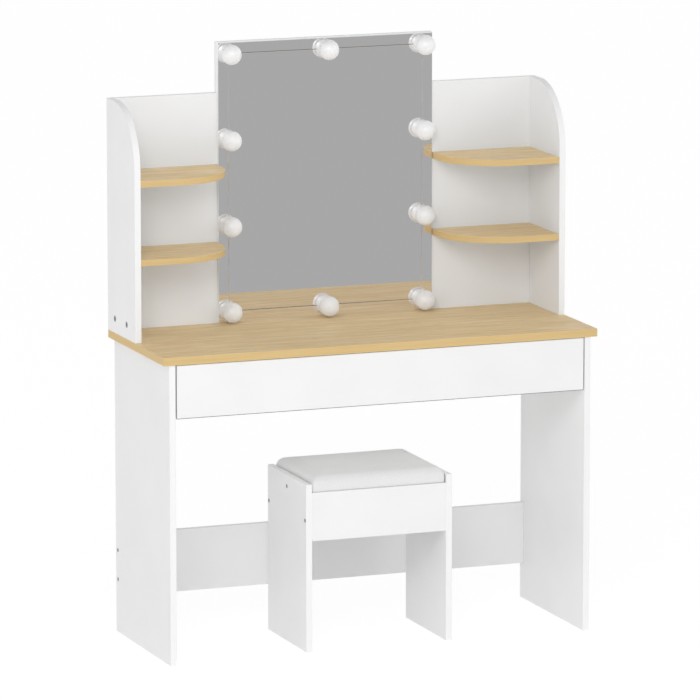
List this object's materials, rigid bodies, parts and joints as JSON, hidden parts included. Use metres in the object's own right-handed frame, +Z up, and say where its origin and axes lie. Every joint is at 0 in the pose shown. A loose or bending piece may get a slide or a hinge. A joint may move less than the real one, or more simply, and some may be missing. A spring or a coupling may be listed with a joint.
{
  "type": "vanity table with mirror",
  "caption": "Dressing table with a wide drawer, a rear hutch of open quarter-round shelves, a mirror edged with bulbs and a cushioned stool",
  "frame": {"origin": "on the floor under the middle of the tabletop", "axes": "+Z up, +X to the sitter's right, -Y to the sitter"},
  "size_m": [1.08, 0.4, 1.398],
  "materials": {
    "melamine_white": "matt white melamine-faced board with white edging",
    "oak_laminate": "matt oak-look laminate, grain along the width",
    "mirror_silver": "silvered flat glass",
    "frosted_globe": "frosted white globe",
    "bulb_base_white": "glossy white collar",
    "wire_insulation": "thin wire in a clear skin",
    "runner_coated_steel": "white coated folded steel",
    "roller_nylon": "natural white nylon",
    "cam_zinc": "dull die-cast zinc",
    "screw_steel": "zinc-plated steel",
    "faux_leather_white": "white grained faux leather over foam",
    "hardboard_white": "thin white-faced hardboard"
  },
  "bodies": {
    "frame": {"bulb_base_01": "bulb_base_white", "bulb_base_02": "bulb_base_white", "bulb_base_03": "bulb_base_white", "bulb_base_04": "bulb_base_white", "bulb_base_05": "bulb_base_white", "bulb_base_06": "bulb_base_white", "bulb_base_07": "bulb_base_white", "bulb_base_08": "bulb_base_white", "bulb_base_09": "bulb_base_white", "bulb_base_10": "bulb_base_white", "bulb_globe_01": "frosted_globe", "bulb_globe_02": "frosted_globe", "bulb_globe_03": "frosted_globe", "bulb_globe_04": "frosted_globe", "bulb_globe_05": "frosted_globe", "bulb_globe_06": "frosted_globe", "bulb_globe_07": "frosted_globe", "bulb_globe_08": "frosted_globe", "bulb_globe_09": "frosted_globe", "bulb_globe_10": "frosted_globe", "bulb_wires": "wire_insulation", "cam_bolts": "screw_steel", "cam_locks": "cam_zinc", "confirmat_screws": "screw_steel", "left_back_panel": "melamine_white", "left_cabinet_runner": "runner_coated_steel", "left_leg_panel": "melamine_white", "left_lower_shelf": "oak_laminate", "left_side_panel": "melamine_white", "left_upper_shelf": "oak_laminate", "mirror_board": "melamine_white", "mirror_glass": "mirror_silver", "rear_crossbar": "melamine_white", "right_back_panel": "melamine_white", "right_cabinet_runner": "runner_coated_steel", "right_leg_panel": "melamine_white", "right_lower_shelf": "oak_laminate", "right_side_panel": "melamine_white", "right_upper_shelf": "oak_laminate", "tabletop": "oak_laminate"},
    "drawer": {"drawer_front": "melamine_white", "drawer_left_side": "melamine_white", "drawer_right_side": "melamine_white", "drawer_back": "melamine_white", "drawer_bottom": "hardboard_white", "left_drawer_runner": "runner_coated_steel", "right_drawer_runner": "runner_coated_steel", "drawer_cam_locks": "cam_zinc", "drawer_cam_bolts": "screw_steel"},
    "stool": {"stool_cushion": "faux_leather_white", "stool_front_apron": "melamine_white", "stool_left_panel": "melamine_white", "stool_rear_apron": "melamine_white", "stool_right_panel": "melamine_white", "stool_screws": "screw_steel", "stool_seat_board": "melamine_white"},
    "left_front_roller": {"left_front_roller": "roller_nylon"},
    "right_front_roller": {"right_front_roller": "roller_nylon"},
    "left_rear_roller": {"left_rear_roller": "roller_nylon"},
    "right_rear_roller": {"right_rear_roller": "roller_nylon"}
  },
  "joints": [
    {"name": "drawer_slide", "type": "slide", "parent": "frame", "child": "drawer", "axis": [0, -1, 0], "range_m": [0, 0.26]},
    {"name": "stool_slide", "type": "slide", "parent": "frame", "child": "stool", "axis": [0, -1, 0], "range_m": [-0.085, 0.45]},
    {"name": "left_front_roller_turn", "type": "hinge", "parent": "frame", "child": "left_front_roller", "pos_m": [-0.50375, -0.164, 0.6035], "axis": [1, 0, 0], "range_deg": [0, 1360]},
    {"name": "right_front_roller_turn", "type": "hinge", "parent": "frame", "child": "right_front_roller", "pos_m": [0.50375, -0.164, 0.6035], "axis": [1, 0, 0], "range_deg": [0, 1360]},
    {"name": "left_rear_roller_turn", "type": "hinge", "parent": "drawer", "child": "left_rear_roller", "pos_m": [-0.50375, 0.154, 0.6035], "axis": [1, 0, 0], "range_deg": [0, 1495]},
    {"name": "right_rear_roller_turn", "type": "hinge", "parent": "drawer", "child": "right_rear_roller", "pos_m": [0.50375, 0.154, 0.6035], "axis": [1, 0, 0], "range_deg": [0, 1495]}
  ],
  "couplings": [
    {"joint": "left_front_roller_turn", "follows": "drawer_slide", "rad_per_m": 90.909},
    {"joint": "right_front_roller_turn", "follows": "drawer_slide", "rad_per_m": 90.909},
    {"joint": "left_rear_roller_turn", "follows": "drawer_slide", "rad_per_m": 100},
    {"joint": "right_rear_roller_turn", "follows": "drawer_slide", "rad_per_m": 100}
  ]
}
